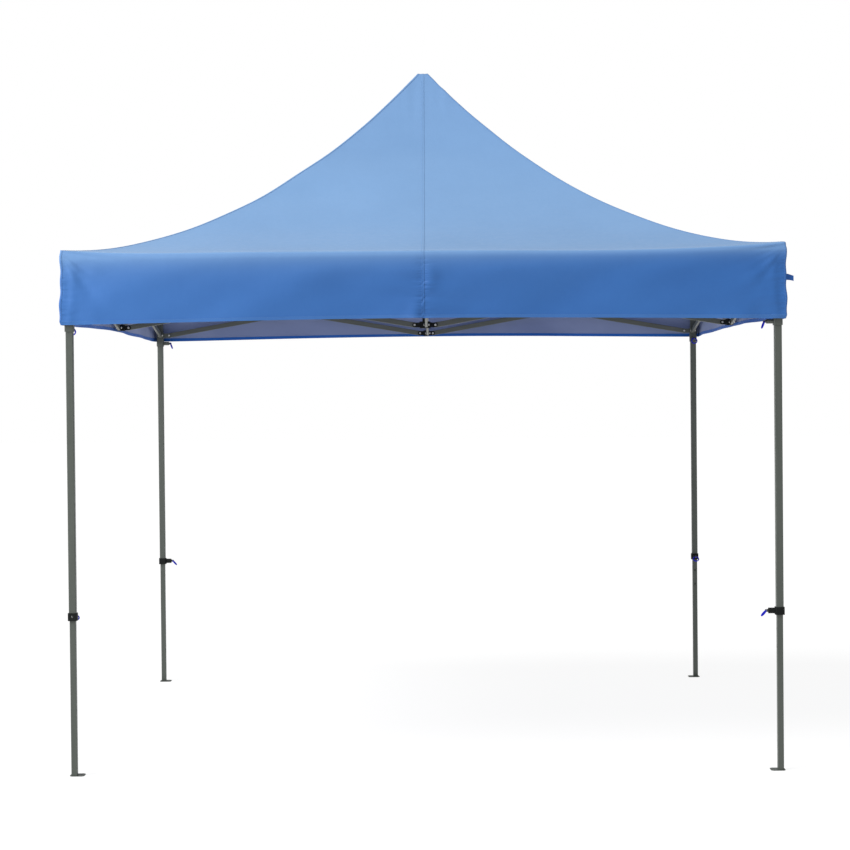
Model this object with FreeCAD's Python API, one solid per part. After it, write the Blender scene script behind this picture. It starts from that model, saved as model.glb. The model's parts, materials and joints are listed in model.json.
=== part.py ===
"""A pop up canopy: four telescopic legs, eight side scissors, four inner scissors, a peak pole and a fabric top.

Millimetres, +Z up, origin on the ground midway between the legs. The frame looks the same after each
quarter turn about Z, so every sub-part is made once, for the front side or the front left leg, and turned.
"""
import FreeCAD
import Part
import math
import os

V = FreeCAD.Vector
X_AXIS, Y_AXIS, Z_AXIS = V(1, 0, 0), V(0, 1, 0), V(0, 0, 1)
ORIGIN = V(0, 0, 0)

# Driving dimensions of the open frame
LEG_SPACING = 2940.0  # leg axis to leg axis along a side
UPPER_PIVOT_Z = 2150.0  # all upper scissor pivots
LOWER_PIVOT_Z = 1910.0  # all lower scissor pivots, at rest
LEG_PIVOT = 50.0  # leg axis to scissor pivot, and pole axis to scissor pivot
BRACKET_PIVOT = 35.0  # side bracket's axis to each of its pivots
HALF = LEG_SPACING / 2

# Scissor bars
BAR_DEEP, BAR_THICK, BAR_WALL, BAR_CORNER = 25.0, 12.0, 0.8, 2.0
BAR_GAP = 1.0  # between the two bars of one scissor
LAYER = (BAR_THICK + BAR_GAP) / 2  # each bar's mid plane from the scissor's mid plane
BAR_END, BAR_END_CHAMFER = 11.0, 6.0  # bar's end past its pivot, and its corner cut
PLUG_DEPTH = 18.0  # end plug's reach past the pivot into the tube
SPAN = HALF - LEG_PIVOT - BRACKET_PIVOT
RISE = UPPER_PIVOT_Z - LOWER_PIVOT_Z
BAR_LENGTH = math.hypot(SPAN, RISE)  # pivot to pivot
BAR_TILT = math.degrees(math.atan2(RISE, SPAN))

# Pivot bolts
BOLT_R, BOLT_CLEARANCE = 3.0, 0.05
HEAD_R, HEAD_H, NUT_H = 5.5, 3.4, 4.6
SPACER_R, SPACER_SIDE_GAP = 9.0, 0.1

# Clevis ears on every bracket
EAR_THICK, EAR_R, EAR_SIDE_GAP = 3.0, 11.5, 0.5
EAR_INNER = BAR_THICK / 2 + EAR_SIDE_GAP

# Legs
LEG, LEG_WALL, LEG_CORNER = 30.0, 1.0, 3.0
LEG_BOTTOM_Z, LEG_TOP_Z = 654.0, 2172.0
INNER_LEG, INNER_CORNER = 25.0, 2.5
INNER_LEG_TOP_Z = 905.0
CAP, CAP_BOTTOM_Z, CAP_TOP_Z = 36.0, 2112.0, 2178.0
COLLAR, COLLAR_BOTTOM_Z, COLLAR_TOP_Z = 38.0, 648.0, 680.0
COLLAR_LIP_HOLE = 26.0
SLEEVE, SLEEVE_HOLE = 37.0, 31.0
SLEEVE_BELOW, SLEEVE_ABOVE = 60.0, 16.0  # from its pivots
HOLE_PITCH, HOLE_COUNT = 76.0, 3  # height holes, the topmost at the pin

# Foot plate, flush with the ground
PLATE_T, PLATE_OUT, PLATE_IN, PLATE_CUT = 3.0, 19.0, 41.0, 9.0
STAKE_HOLE_AT, STAKE_HOLE_R = 28.0, 5.0

# Spring pins with pull rings
LEG_PIN_Z = 665.0
SLIDER_PIN_DROP = 44.0  # below the slider's pivots
PIN_R, PIN_RUNNING = 4.0, 0.1
HOUSING_R, HOUSING_END = 9.5, 47.0
COLLAR_HOUSING_R = 12.0
PIN_HEAD_R, PIN_HEAD_H, PIN_HEAD_GAP = 6.5, 3.0, 0.5
LUG_T, LUG_R, LUG_HOLE_R, LUG_REACH = 3.0, 5.8, 3.2, 5.5
RING_R, RING_WIRE_R = 14.5, 2.8
LEG_RING_TILT, SLIDER_RING_TILT = 42.0, 20.0  # outwards from hanging straight, in degrees
PIN_NOSE_GAP = 0.3  # between the pin's nose and the tube it locks

# Centre: hubs, the lower hub's guide tube and the peak pole that slides in it
HUB_R, HUB_ABOVE, HUB_BELOW = 27.0, 16.0, 16.0
GUIDE_R, GUIDE_WALL, GUIDE_TOP_Z = 12.5, 1.2, 2450.0
GUIDE_RUNNING = 0.4  # in the upper hub's bore
SOCKET_DEPTH_BELOW = 10.0  # lower hub's socket floor below its pivots
POLE_R, POLE_WALL, POLE_BOTTOM_Z = 10.9, 1.2, 2110.0
POLE_CAP_TOP_Z, POLE_CAP_H, POLE_CAP_R, POLE_CAP_TOP_R = 3115.0, 27.0, 26.0, 21.0
POLE_CAP_ROOF = 6.0  # solid thickness over the pole's end

# Side brackets
BLOCK, BLOCK_H, BLOCK_CORNER = 33.0, 30.0, 3.0

# Fabric top
TOP = 3000.0  # outside width
EAVE_Z, PEAK_Z, VALANCE_Z = 2184.0, 3118.0, 1877.0
FABRIC, PEAK_FLAT, ROOF_POWER, ROOF_STEPS = 1.0, 48.0, 1.86, 9

SIDES = ["front", "right", "rear", "left"]
CORNERS = ["front_left", "front_right", "rear_right", "rear_left"]


def save(name, solids):
    """Writes one sub-part: one solid, or a group of separate ones."""
    shape = solids[0] if len(solids) == 1 else Part.makeCompound(solids)
    for solid in solids:
        if not solid.isValid() or solid.Volume <= 0:
            raise ValueError(f"{name} has a bad solid")
    shape.exportStep(f"parts/{name}.step")


def turned(shape, quarter_turns):
    copy = shape.copy()
    copy.rotate(ORIGIN, Z_AXIS, 90 * quarter_turns)
    return copy


def moved(shape, x, y, z):
    copy = shape.copy()
    copy.translate(V(x, y, z))
    return copy


def box(low, high):
    """A box between two corners."""
    size = [b - a for a, b in zip(low, high)]
    return Part.makeBox(*size, V(*low))


def one_solid(shape):
    """The single solid that a boolean operation leaves."""
    shape = shape.removeSplitter()
    if len(shape.Solids) != 1:
        raise ValueError(f"{len(shape.Solids)} solids where one was expected")
    return shape.Solids[0]


def rounded_square(width, depth, corner, low_z, high_z):
    """An upright bar about the Z axis, with rounded long edges."""
    a, b, r = width / 2, depth / 2, corner
    k = r * (1 - math.sqrt(0.5))
    points = [V(a - r, -b, 0), V(a, -b + r, 0), V(a, b - r, 0), V(a - r, b, 0)]
    points += [V(-a + r, b, 0), V(-a, b - r, 0), V(-a, -b + r, 0), V(-a + r, -b, 0)]
    middles = [V(a - k, -b + k, 0), V(a - k, b - k, 0), V(-a + k, b - k, 0), V(-a + k, -b + k, 0)]
    edges = []
    for i in range(4):
        start, end = points[2 * i], points[2 * i + 1]
        edges.append(Part.Arc(start, middles[i], end).toShape())
        edges.append(Part.makeLine(end, points[(2 * i + 2) % 8]))
    face = Part.Face(Part.Wire(edges))
    face.translate(V(0, 0, low_z))
    return face.extrude(V(0, 0, high_z - low_z))


def rod(radius, start, direction, length):
    return Part.makeCylinder(radius, length, start, direction)


def hexagon(start, direction, across_corners_r, height):
    """A nut's outside, standing on start along direction."""
    corners = [V(across_corners_r, 0, 0)]
    for i in range(1, 7):
        angle = math.radians(60 * i)
        corners.append(V(across_corners_r * math.cos(angle), across_corners_r * math.sin(angle), 0))
    corners[6] = corners[0]
    nut = Part.Face(Part.makePolygon(corners)).extrude(V(0, 0, height))
    nut.Placement = FreeCAD.Placement(start, FreeCAD.Rotation(Z_AXIS, direction))
    return nut


def bolt(centre, direction, grip):
    """A pivot bolt and nut, centred on a stack of parts as thick as grip."""
    under_head = centre - direction * (grip / 2)
    shank = rod(BOLT_R, under_head, direction, grip + NUT_H + 1)
    head = rod(HEAD_R, under_head - direction * HEAD_H, direction, HEAD_H)
    head = head.makeFillet(1.2, [e for e in head.Edges if len(e.Vertexes) == 1][:2])
    nut = hexagon(centre + direction * (grip / 2), direction, HEAD_R, NUT_H)
    return one_solid(head.fuse([shank, nut]))


def bolt_hole(centre, direction, length):
    start = centre - direction * (length / 2)
    return rod(BOLT_R + BOLT_CLEARANCE, start, direction, length)


# Scissor bars, made along +X from their first pivot


def bar_outline():
    """The bar seen from its flat side, with both ends' corners cut, as a block wider than the bar."""
    end, cut, top = BAR_END, BAR_END_CHAMFER, BAR_DEEP / 2
    side = [(-end, cut - top), (cut - end, -top), (BAR_LENGTH + end - cut, -top)]
    side += [(BAR_LENGTH + end, cut - top), (BAR_LENGTH + end, top - cut)]
    side += [(BAR_LENGTH + end - cut, top), (cut - end, top), (-end, top - cut)]
    points = [V(x, -BAR_THICK, z) for x, z in side]
    return Part.Face(Part.makePolygon(points + points[:1])).extrude(V(0, 2 * BAR_THICK, 0))


def lying(shape):
    """Turns an upright bar to lie along +X, its depth still along Z."""
    shape.rotate(ORIGIN, Y_AXIS, 90)
    return shape


def bar(with_centre_bolt):
    """A bar's tube, its two end plugs and, on one bar of each pair, the bolt and spacer at the crossing."""
    low, high = -BAR_END - 1, BAR_LENGTH + BAR_END + 1
    tube = lying(rounded_square(BAR_DEEP, BAR_THICK, BAR_CORNER, low, high))
    inside = BAR_CORNER - BAR_WALL
    hollow = lying(
        rounded_square(BAR_DEEP - 2 * BAR_WALL, BAR_THICK - 2 * BAR_WALL, inside, low - 1, high + 1)
    )
    outline = bar_outline()
    pivots = [V(at, 0, 0) for at in (0, BAR_LENGTH / 2, BAR_LENGTH)]
    holes = [bolt_hole(p, Y_AXIS, 2 * BAR_THICK) for p in pivots]
    solids = [one_solid(tube.cut(hollow).common(outline).cut(holes))]
    for near, far in ((low, PLUG_DEPTH), (BAR_LENGTH - PLUG_DEPTH, high)):
        reach = box((near, -BAR_THICK, -BAR_DEEP), (far, BAR_THICK, BAR_DEEP))
        solids.append(one_solid(hollow.common(outline).common(reach).cut(holes)))
    if with_centre_bolt:
        middle = pivots[1] + Y_AXIS * LAYER
        solids.append(bolt(middle, Y_AXIS, 2 * BAR_THICK + BAR_GAP))
        face = pivots[1] + Y_AXIS * (BAR_THICK / 2)
        spacer = rod(SPACER_R, face, Y_AXIS, BAR_GAP - SPACER_SIDE_GAP)
        solids.append(spacer.cut(bolt_hole(face, Y_AXIS, 4 * BAR_GAP)))
    return solids


def placed_bar(solids, x, y, z, azimuth, climb):
    """Puts a bar's first pivot at a point, and aims it along an azimuth, climbing by an angle."""
    out = []
    for solid in solids:
        copy = solid.copy()
        copy.rotate(ORIGIN, Y_AXIS, -climb)
        copy.rotate(ORIGIN, Z_AXIS, azimuth)
        copy.translate(V(x, y, z))
        out.append(copy)
    return out


# Clevises, made pointing along +X from an axis at the origin, with their bar's mid plane at y = layer


def ears(layer, root, pivot):
    """Two ears that hold a bar's end, reaching back to root, with their bolt hole."""
    parts = []
    for near in (layer - EAR_INNER - EAR_THICK, layer + EAR_INNER):
        plate = box((root, near, -EAR_R), (pivot, near + EAR_THICK, EAR_R))
        tip = rod(EAR_R, V(pivot, near, 0), Y_AXIS, EAR_THICK)
        parts.append(plate.fuse(tip))
    return parts


def clevis_hole(layer, pivot):
    return bolt_hole(V(pivot, layer, 0), Y_AXIS, 4 * EAR_INNER)


def clevis_bolt(layer, pivot):
    return bolt(V(pivot, layer, 0), Y_AXIS, 2 * (EAR_INNER + EAR_THICK))


def bracket(body, clevises):
    """Fuses a body with clevises, each (azimuth, layer, root, pivot), and returns it with its bolts."""
    plates, holes, bolts = [], [], []
    for azimuth, layer, root, pivot in clevises:
        for plate in ears(layer, root, pivot):
            plate.rotate(ORIGIN, Z_AXIS, azimuth)
            plates.append(plate)
        for made, into in ((clevis_hole, holes), (clevis_bolt, bolts)):
            piece = made(layer, pivot)
            piece.rotate(ORIGIN, Z_AXIS, azimuth)
            into.append(piece)
    return [one_solid(body.fuse(plates).cut(holes))] + bolts


def at_leg(solids, z):
    return [moved(s, -HALF, -HALF, z) for s in solids]


# The front left leg: the front side's scissors leave it along +X and the left side's along +Y


def leg_clevises(layer):
    """The two clevises of a leg bracket. The left side's is the front side's, mirrored in the diagonal."""
    root = CAP / 2 - 2
    return [(0, layer, root, LEG_PIVOT), (90, -layer, root, LEG_PIVOT)]


def outer_leg():
    tube = rounded_square(LEG, LEG, LEG_CORNER, LEG_BOTTOM_Z, LEG_TOP_Z)
    inside = LEG - 2 * LEG_WALL
    hollow = rounded_square(inside, inside, LEG_CORNER - LEG_WALL, LEG_BOTTOM_Z - 1, LEG_TOP_Z + 1)
    pin_hole = rod(PIN_R + 2 * PIN_RUNNING, V(0, 0, LEG_PIN_Z), Y_AXIS, LEG)
    cap = rounded_square(CAP, CAP, 4, CAP_BOTTOM_Z, CAP_TOP_Z)
    cap = cap.cut(rounded_square(LEG, LEG, LEG_CORNER, CAP_BOTTOM_Z - 1, LEG_TOP_Z))
    cap = moved(cap, 0, 0, -UPPER_PIVOT_Z)
    top_bracket = [moved(s, 0, 0, UPPER_PIVOT_Z) for s in bracket(cap, leg_clevises(-LAYER))]
    return at_leg([one_solid(tube.cut(hollow).cut(pin_hole))] + top_bracket, 0)


def leg_collar():
    collar = rounded_square(COLLAR, COLLAR, 4, COLLAR_BOTTOM_Z, COLLAR_TOP_Z)
    housing = rod(COLLAR_HOUSING_R, V(0, LEG / 2, LEG_PIN_Z), Y_AXIS, HOUSING_END - LEG / 2)
    leg_seat = rounded_square(LEG, LEG, LEG_CORNER, LEG_BOTTOM_Z, COLLAR_TOP_Z + 1)
    lip = rounded_square(COLLAR_LIP_HOLE, COLLAR_LIP_HOLE, INNER_CORNER, COLLAR_BOTTOM_Z - 1, LEG_BOTTOM_Z)
    pin_bore = rod(PIN_R + PIN_RUNNING, V(0, 0, LEG_PIN_Z), Y_AXIS, 2 * HOUSING_END)
    return at_leg([one_solid(collar.fuse(housing).cut([leg_seat, lip, pin_bore]))], 0)


def foot_plate():
    low, high, cut = -PLATE_OUT, PLATE_IN, PLATE_CUT
    outline = [(low + cut, low), (high - cut, low), (high, low + cut), (high, high - cut)]
    outline += [(high - cut, high), (low + cut, high), (low, high - cut), (low, low + cut)]
    points = [V(x, y, 0) for x, y in outline]
    plate = Part.Face(Part.makePolygon(points + points[:1])).extrude(V(0, 0, PLATE_T))
    stake_hole = rod(STAKE_HOLE_R, V(STAKE_HOLE_AT, STAKE_HOLE_AT, -1), Z_AXIS, PLATE_T + 2)
    return one_solid(plate.cut(stake_hole))


def inner_leg():
    tube = rounded_square(INNER_LEG, INNER_LEG, INNER_CORNER, PLATE_T, INNER_LEG_TOP_Z)
    inside = INNER_LEG - 2 * LEG_WALL
    hollow = rounded_square(inside, inside, INNER_CORNER - LEG_WALL, PLATE_T - 1, INNER_LEG_TOP_Z + 1)
    holes = []
    for step in range(HOLE_COUNT):
        at = V(0, 0, LEG_PIN_Z - step * HOLE_PITCH)
        holes.append(rod(PIN_R + 2 * PIN_RUNNING, at, Y_AXIS, INNER_LEG))
    return at_leg([one_solid(tube.cut(hollow).cut(holes)), foot_plate()], 0)


def slider():
    sleeve = rounded_square(SLEEVE, SLEEVE, 4, -SLEEVE_BELOW, SLEEVE_ABOVE)
    housing = rod(HOUSING_R, V(0, LEG / 2, -SLIDER_PIN_DROP), Y_AXIS, HOUSING_END - LEG / 2)
    leg_way = rounded_square(SLEEVE_HOLE, SLEEVE_HOLE, LEG_CORNER, -SLEEVE_BELOW - 1, SLEEVE_ABOVE + 1)
    pin_bore = rod(PIN_R + PIN_RUNNING, V(0, 0, -SLIDER_PIN_DROP), Y_AXIS, 2 * HOUSING_END)
    body = sleeve.fuse(housing).cut([leg_way, pin_bore])
    return at_leg(bracket(body, leg_clevises(LAYER)), LOWER_PIVOT_Z)


def pull_pin(locked_tube, z, ring_tilt):
    """A sprung pin along +Y that locks a square tube, with a lug and a pull ring at its outer end."""
    nose = locked_tube / 2 + PIN_NOSE_GAP
    head_at = HOUSING_END + PIN_HEAD_GAP
    eye = head_at + PIN_HEAD_H + LUG_REACH
    shaft = rod(PIN_R, V(0, nose, 0), Y_AXIS, head_at - nose)
    head = rod(PIN_HEAD_R, V(0, head_at, 0), Y_AXIS, PIN_HEAD_H)
    lug = box((-LUG_T / 2, head_at, -LUG_R), (LUG_T / 2, eye, LUG_R))
    lug = lug.fuse(rod(LUG_R, V(-LUG_T / 2, eye, 0), X_AXIS, LUG_T))
    lug_hole = rod(LUG_HOLE_R, V(-LUG_T, eye, 0), X_AXIS, 2 * LUG_T)
    pin = one_solid(shaft.fuse([head, lug]).cut(lug_hole))
    ring = Part.makeTorus(RING_R, RING_WIRE_R, V(0, eye, -RING_R), Y_AXIS)
    ring.rotate(V(0, eye, 0), X_AXIS, ring_tilt)
    return at_leg([pin, ring], z)


# Side brackets and hubs, for the front side and the centre


def side_brackets():
    """The upper and lower brackets at the middle of the front side, with pivots left, right and inwards."""
    block = rounded_square(BLOCK, BLOCK, BLOCK_CORNER, -BLOCK_H / 2, BLOCK_H / 2)
    root = BLOCK / 2 - 2
    # An inner bar leaves along +Y, where a clevis turned by 90 has its layer along -X.
    upper = [(0, LAYER, root, BRACKET_PIVOT), (180, -LAYER, root, BRACKET_PIVOT)]
    upper.append((90, -LAYER, root, BRACKET_PIVOT))
    lower = [(0, -LAYER, root, BRACKET_PIVOT), (180, LAYER, root, BRACKET_PIVOT)]
    lower.append((90, LAYER, root, BRACKET_PIVOT))
    at_upper = [moved(s, 0, -HALF, UPPER_PIVOT_Z) for s in bracket(block, upper)]
    at_lower = [moved(s, 0, -HALF, LOWER_PIVOT_Z) for s in bracket(block, lower)]
    return at_upper, at_lower


def hub(layer, bore, z):
    """A centre hub: a round block with a clevis towards each side and a hole for the pole."""
    body = rod(HUB_R, V(0, 0, -HUB_BELOW), Z_AXIS, HUB_BELOW + HUB_ABOVE)
    clevises = [(-90 + 90 * k, layer, HUB_R - 7, LEG_PIVOT) for k in range(4)]
    return [moved(s, 0, 0, z) for s in bracket(body.cut(bore), clevises)]


def upper_hub():
    bore = rod(GUIDE_R + GUIDE_RUNNING, V(0, 0, -2 * HUB_BELOW), Z_AXIS, 4 * HUB_ABOVE)
    return hub(-LAYER, bore, UPPER_PIVOT_Z)


def round_tube(radius, wall, bottom, top):
    outside = rod(radius, V(0, 0, bottom), Z_AXIS, top - bottom)
    return outside.cut(rod(radius - wall, V(0, 0, bottom - 1), Z_AXIS, top - bottom + 2))


def lower_hub():
    """The lower hub and its guide tube, which stands in a blind socket."""
    socket = rod(GUIDE_R, V(0, 0, -SOCKET_DEPTH_BELOW), Z_AXIS, 4 * HUB_ABOVE)
    guide = round_tube(GUIDE_R, GUIDE_WALL, LOWER_PIVOT_Z - SOCKET_DEPTH_BELOW, GUIDE_TOP_Z)
    return hub(LAYER, socket, LOWER_PIVOT_Z) + [guide]


def peak_pole():
    top = POLE_CAP_TOP_Z - POLE_CAP_ROOF
    tube = round_tube(POLE_R, POLE_WALL, POLE_BOTTOM_Z, top)
    low = POLE_CAP_TOP_Z - POLE_CAP_H
    cap = Part.makeCone(POLE_CAP_R, POLE_CAP_TOP_R, POLE_CAP_H, V(0, 0, low))
    cap = cap.cut(rod(POLE_R, V(0, 0, low - 1), Z_AXIS, top - low + 1))
    cap = cap.makeFillet(4, [e for e in cap.Edges if abs(e.BoundBox.ZMin - POLE_CAP_TOP_Z) < 0.01])
    return [tube, one_solid(cap)]


# Fabric top: four roof panels that meet on the hips, a peak patch and four valances


def roof_height(y):
    """Height of the roof's outer face at a distance from the centre, across a panel."""
    share = 1 - (y - PEAK_FLAT / 2) / (TOP / 2 - PEAK_FLAT / 2)
    return EAVE_Z + (PEAK_Z - EAVE_Z) * share**ROOF_POWER


def canopy_top():
    """Flat strips follow the roof's hollow curve from the peak patch to the eave."""
    solids = []
    inner, outer = PEAK_FLAT / 2, TOP / 2
    steps = [inner + (outer - inner) * i / ROOF_STEPS for i in range(ROOF_STEPS + 1)]
    upper = [V(-outer, -y, roof_height(y)) for y in steps]
    lower = [p - V(0, 0, FABRIC) for p in reversed(upper)]
    strip = Part.Face(Part.makePolygon(upper + lower + upper[:1])).extrude(V(TOP, 0, 0))
    low_z, high_z = EAVE_Z - 10, PEAK_Z + 10
    wedge = [V(0, 0, low_z), V(-outer, -outer, low_z), V(outer, -outer, low_z), V(0, 0, low_z)]
    panel = one_solid(strip.common(Part.Face(Part.makePolygon(wedge)).extrude(V(0, 0, high_z - low_z))))
    valance = box((-outer, -outer, VALANCE_Z), (outer - FABRIC, -outer + FABRIC, EAVE_Z - FABRIC))
    for k in range(4):
        solids += [turned(panel, k), turned(valance, k)]
    solids.append(box((-inner, -inner, PEAK_Z - FABRIC), (inner, inner, PEAK_Z)))
    return solids


def main():
    os.makedirs("parts", exist_ok=True)
    plain_bar, bolted_bar = bar(False), bar(True)
    # A bar seen from its start has +Y on its left, so the bolt of a bolted bar reaches to that side.
    bars = {
        "{side}_inner_bar_from_upper_hub": placed_bar(
            bolted_bar, -LAYER, -LEG_PIVOT, UPPER_PIVOT_Z, -90, -BAR_TILT
        ),
        "{side}_inner_bar_from_lower_hub": placed_bar(
            plain_bar, LAYER, -LEG_PIVOT, LOWER_PIVOT_Z, -90, BAR_TILT
        ),
        "{side}_bar_to_{a}_slider": placed_bar(
            bolted_bar, -BRACKET_PIVOT, -HALF + LAYER, UPPER_PIVOT_Z, 180, -BAR_TILT
        ),
        "{side}_bar_to_{a}_top": placed_bar(
            plain_bar, -BRACKET_PIVOT, -HALF - LAYER, LOWER_PIVOT_Z, 180, BAR_TILT
        ),
        "{side}_bar_to_{b}_slider": placed_bar(
            plain_bar, BRACKET_PIVOT, -HALF + LAYER, UPPER_PIVOT_Z, 0, -BAR_TILT
        ),
        "{side}_bar_to_{b}_top": placed_bar(
            bolted_bar, BRACKET_PIVOT, -HALF - LAYER, LOWER_PIVOT_Z, 0, BAR_TILT
        ),
    }
    upper_bracket, lower_bracket = side_brackets()
    bars["{side}_upper_bracket"] = upper_bracket
    bars["{side}_lower_bracket"] = lower_bracket
    at_corner = {
        "{a}_outer_leg": outer_leg(),
        "{a}_leg_collar": leg_collar(),
        "{a}_inner_leg": inner_leg(),
        "{a}_slider": slider(),
        "{a}_slider_pin": pull_pin(LEG, LOWER_PIVOT_Z - SLIDER_PIN_DROP, SLIDER_RING_TILT),
        "{a}_leg_pin": pull_pin(INNER_LEG, LEG_PIN_Z, LEG_RING_TILT),
    }
    for k in range(4):
        words = {"side": SIDES[k], "a": CORNERS[k], "b": CORNERS[(k + 1) % 4]}
        for name, solids in {**bars, **at_corner}.items():
            save(name.format(**words), [turned(s, k) for s in solids])
    save("center_upper_hub", upper_hub())
    save("center_lower_hub", lower_hub())
    save("peak_pole", peak_pole())
    save("canopy_top", canopy_top())


main()
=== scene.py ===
"""The looks of a pop up canopy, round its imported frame.

One sewn sheet of blue fabric makes the roof and the valance. Seam tapes, hem, stitches and webbing tabs lie
on it, and everything sewn follows the frame's fold through hooks on the brackets, the pole and the lower hub.
Metres throughout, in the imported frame's own axes.
"""
import json
import math

import bpy
import numpy as np
from mathutils import Matrix, Vector

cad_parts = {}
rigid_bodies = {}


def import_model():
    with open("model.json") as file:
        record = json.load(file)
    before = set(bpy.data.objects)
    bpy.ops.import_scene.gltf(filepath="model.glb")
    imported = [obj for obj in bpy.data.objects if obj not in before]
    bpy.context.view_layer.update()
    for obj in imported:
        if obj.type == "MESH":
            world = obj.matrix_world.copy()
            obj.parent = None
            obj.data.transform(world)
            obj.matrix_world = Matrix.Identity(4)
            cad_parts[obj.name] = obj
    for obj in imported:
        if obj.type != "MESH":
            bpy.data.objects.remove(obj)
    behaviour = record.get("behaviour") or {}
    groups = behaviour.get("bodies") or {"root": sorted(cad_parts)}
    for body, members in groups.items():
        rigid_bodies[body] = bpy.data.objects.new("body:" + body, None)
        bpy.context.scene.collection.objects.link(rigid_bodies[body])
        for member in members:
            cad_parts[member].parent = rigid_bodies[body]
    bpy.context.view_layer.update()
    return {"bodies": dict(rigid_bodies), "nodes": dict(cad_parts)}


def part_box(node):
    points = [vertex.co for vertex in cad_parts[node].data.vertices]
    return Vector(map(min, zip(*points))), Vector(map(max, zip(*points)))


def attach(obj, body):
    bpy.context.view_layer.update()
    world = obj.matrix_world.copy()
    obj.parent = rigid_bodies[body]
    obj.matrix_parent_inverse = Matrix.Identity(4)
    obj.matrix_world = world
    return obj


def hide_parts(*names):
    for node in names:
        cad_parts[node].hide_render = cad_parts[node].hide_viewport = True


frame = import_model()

SIDES = ["front", "right", "rear", "left"]
CORNERS = ["front_left", "front_right", "rear_right", "rear_left"]

# Sizes read from the frame
top_low, top_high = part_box("canopy_top")
HALF_TOP, PEAK_Z, HEM_Z = top_high.x, top_high.z, top_low.z
collar_low, collar_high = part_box("front_left_leg_collar")
HALF_LEG = -(collar_low.x + collar_high.x) / 2
EAVE_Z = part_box("front_left_outer_leg")[1].z + 0.006

# The fabric's cut
PEAK_FLAT = 0.024  # half width of the flat that lies on the pole's cap
ROOF_POWERS = (2.05, 1.30)  # how hollow the hips are: three parts of the first to one of the second
CORNER_RISE, EAVE_SAG = 0.008, 0.0155  # of the eave's line, at the corners and between them
HEM_RISE = 0.016  # in the middle of a side
PANEL_SAG = 0.018  # of the roof between two hips
EDGE_DROP = 0.005  # of the rolled edge at the corners
EDGE_DROP_MIDDLE = 0.024  # how much more it drops between them
FABRIC = 0.0007
EAVE_BAND = 0.0135  # the last of the roof, which rolls over the edge
HEM_DEEP, TAPE_HALF = 0.018, 0.009


def smooth(t):
    t = np.clip(t, 0, 1)
    return t * t * (3 - 2 * t)


# ---------------------------------------------------------------- materials


class Shader:
    """A node material under construction, with short names for the nodes that it needs."""

    def __init__(self, name):
        self.material = bpy.data.materials.new(name)
        self.material.use_nodes = True
        self.tree = self.material.node_tree
        self.principled = self.tree.nodes["Principled BSDF"]

    def node(self, kind, **settings):
        made = self.tree.nodes.new(kind)
        for key, value in settings.items():
            setattr(made, key, value)
        return made

    def link(self, source, target):
        self.tree.links.new(source, target)

    def attribute(self, name):
        """A number that the mesh carries at each of its points."""
        return self.node("ShaderNodeAttribute", attribute_name=name).outputs["Fac"]

    def set(self, **values):
        """Sets plain numbers and colours on the shader's own sockets."""
        for key, value in values.items():
            self.principled.inputs[key.replace("_", " ")].default_value = value

    def coordinates(self, stretch=(1, 1, 1), uv=None):
        """Object coordinates, or a UV map's, stretched."""
        if uv:
            source = self.node("ShaderNodeUVMap", uv_map=uv).outputs["UV"]
        else:
            source = self.node("ShaderNodeTexCoord").outputs["Object"]
        mapping = self.node("ShaderNodeMapping")
        mapping.inputs["Scale"].default_value = stretch
        self.link(source, mapping.inputs["Vector"])
        return mapping.outputs["Vector"]

    def noise(self, scale, detail=3, where=None, roughness=0.55):
        made = self.node("ShaderNodeTexNoise")
        made.inputs["Scale"].default_value = scale
        made.inputs["Detail"].default_value = detail
        made.inputs["Roughness"].default_value = roughness
        self.link(where or self.coordinates(), made.inputs["Vector"])
        return made.outputs["Fac"]

    def ramp(self, value, stops):
        """A colour ramp: stops are (position, colour), where a plain number is a grey."""
        made = self.node("ShaderNodeValToRGB")
        elements = made.color_ramp.elements
        while len(elements) < len(stops):
            elements.new(0.5)
        for element, (position, colour) in zip(elements, stops):
            element.position = position
            element.color = (colour,) * 3 + (1,) if isinstance(colour, (int, float)) else (*colour, 1)
        self.link(value, made.inputs["Fac"])
        return made.outputs["Color"]

    def math(self, operation, a, b):
        made = self.node("ShaderNodeMath", operation=operation)
        for socket, value in zip(made.inputs, (a, b)):
            if isinstance(value, (int, float)):
                socket.default_value = value
            else:
                self.link(value, socket)
        return made.outputs[0]

    def bump(self, height, strength, distance):
        """Adds one more layer of bump on top of those already there."""
        made = self.node("ShaderNodeBump")
        made.inputs["Strength"].default_value = strength
        made.inputs["Distance"].default_value = distance
        self.link(height, made.inputs["Height"])
        before = self.principled.inputs["Normal"].links
        if before:
            self.link(before[0].from_socket, made.inputs["Normal"])
        self.link(made.outputs["Normal"], self.principled.inputs["Normal"])

    def colour(self, source):
        self.link(source, self.principled.inputs["Base Color"])

    def rough(self, source):
        self.link(source, self.principled.inputs["Roughness"])


WAVES_PER_METRE = 3.2  # of a Wave texture at scale 1


def weave(shader, period, strength):
    """A plain weave in the cloth's own coordinates."""
    where = shader.coordinates(uv="cloth")
    heights = []
    for direction in ("X", "Y"):
        thread = shader.node("ShaderNodeTexWave", bands_direction=direction)
        thread.inputs["Scale"].default_value = 1 / period / WAVES_PER_METRE
        thread.inputs["Distortion"].default_value = 0.4
        shader.link(where, thread.inputs["Vector"])
        heights.append(thread.outputs["Fac"])
    shader.bump(shader.math("MULTIPLY", *heights), strength, 0.0002)


PUCKER_FADE = 42.0  # per metre from a seam
PUCKERS_ACROSS, PUCKERS_ALONG = 9.0, 62.0  # their noise's scale, away from a seam and along it
ROOF_CALM = 0.85  # how much weaker they are on the roof


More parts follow.
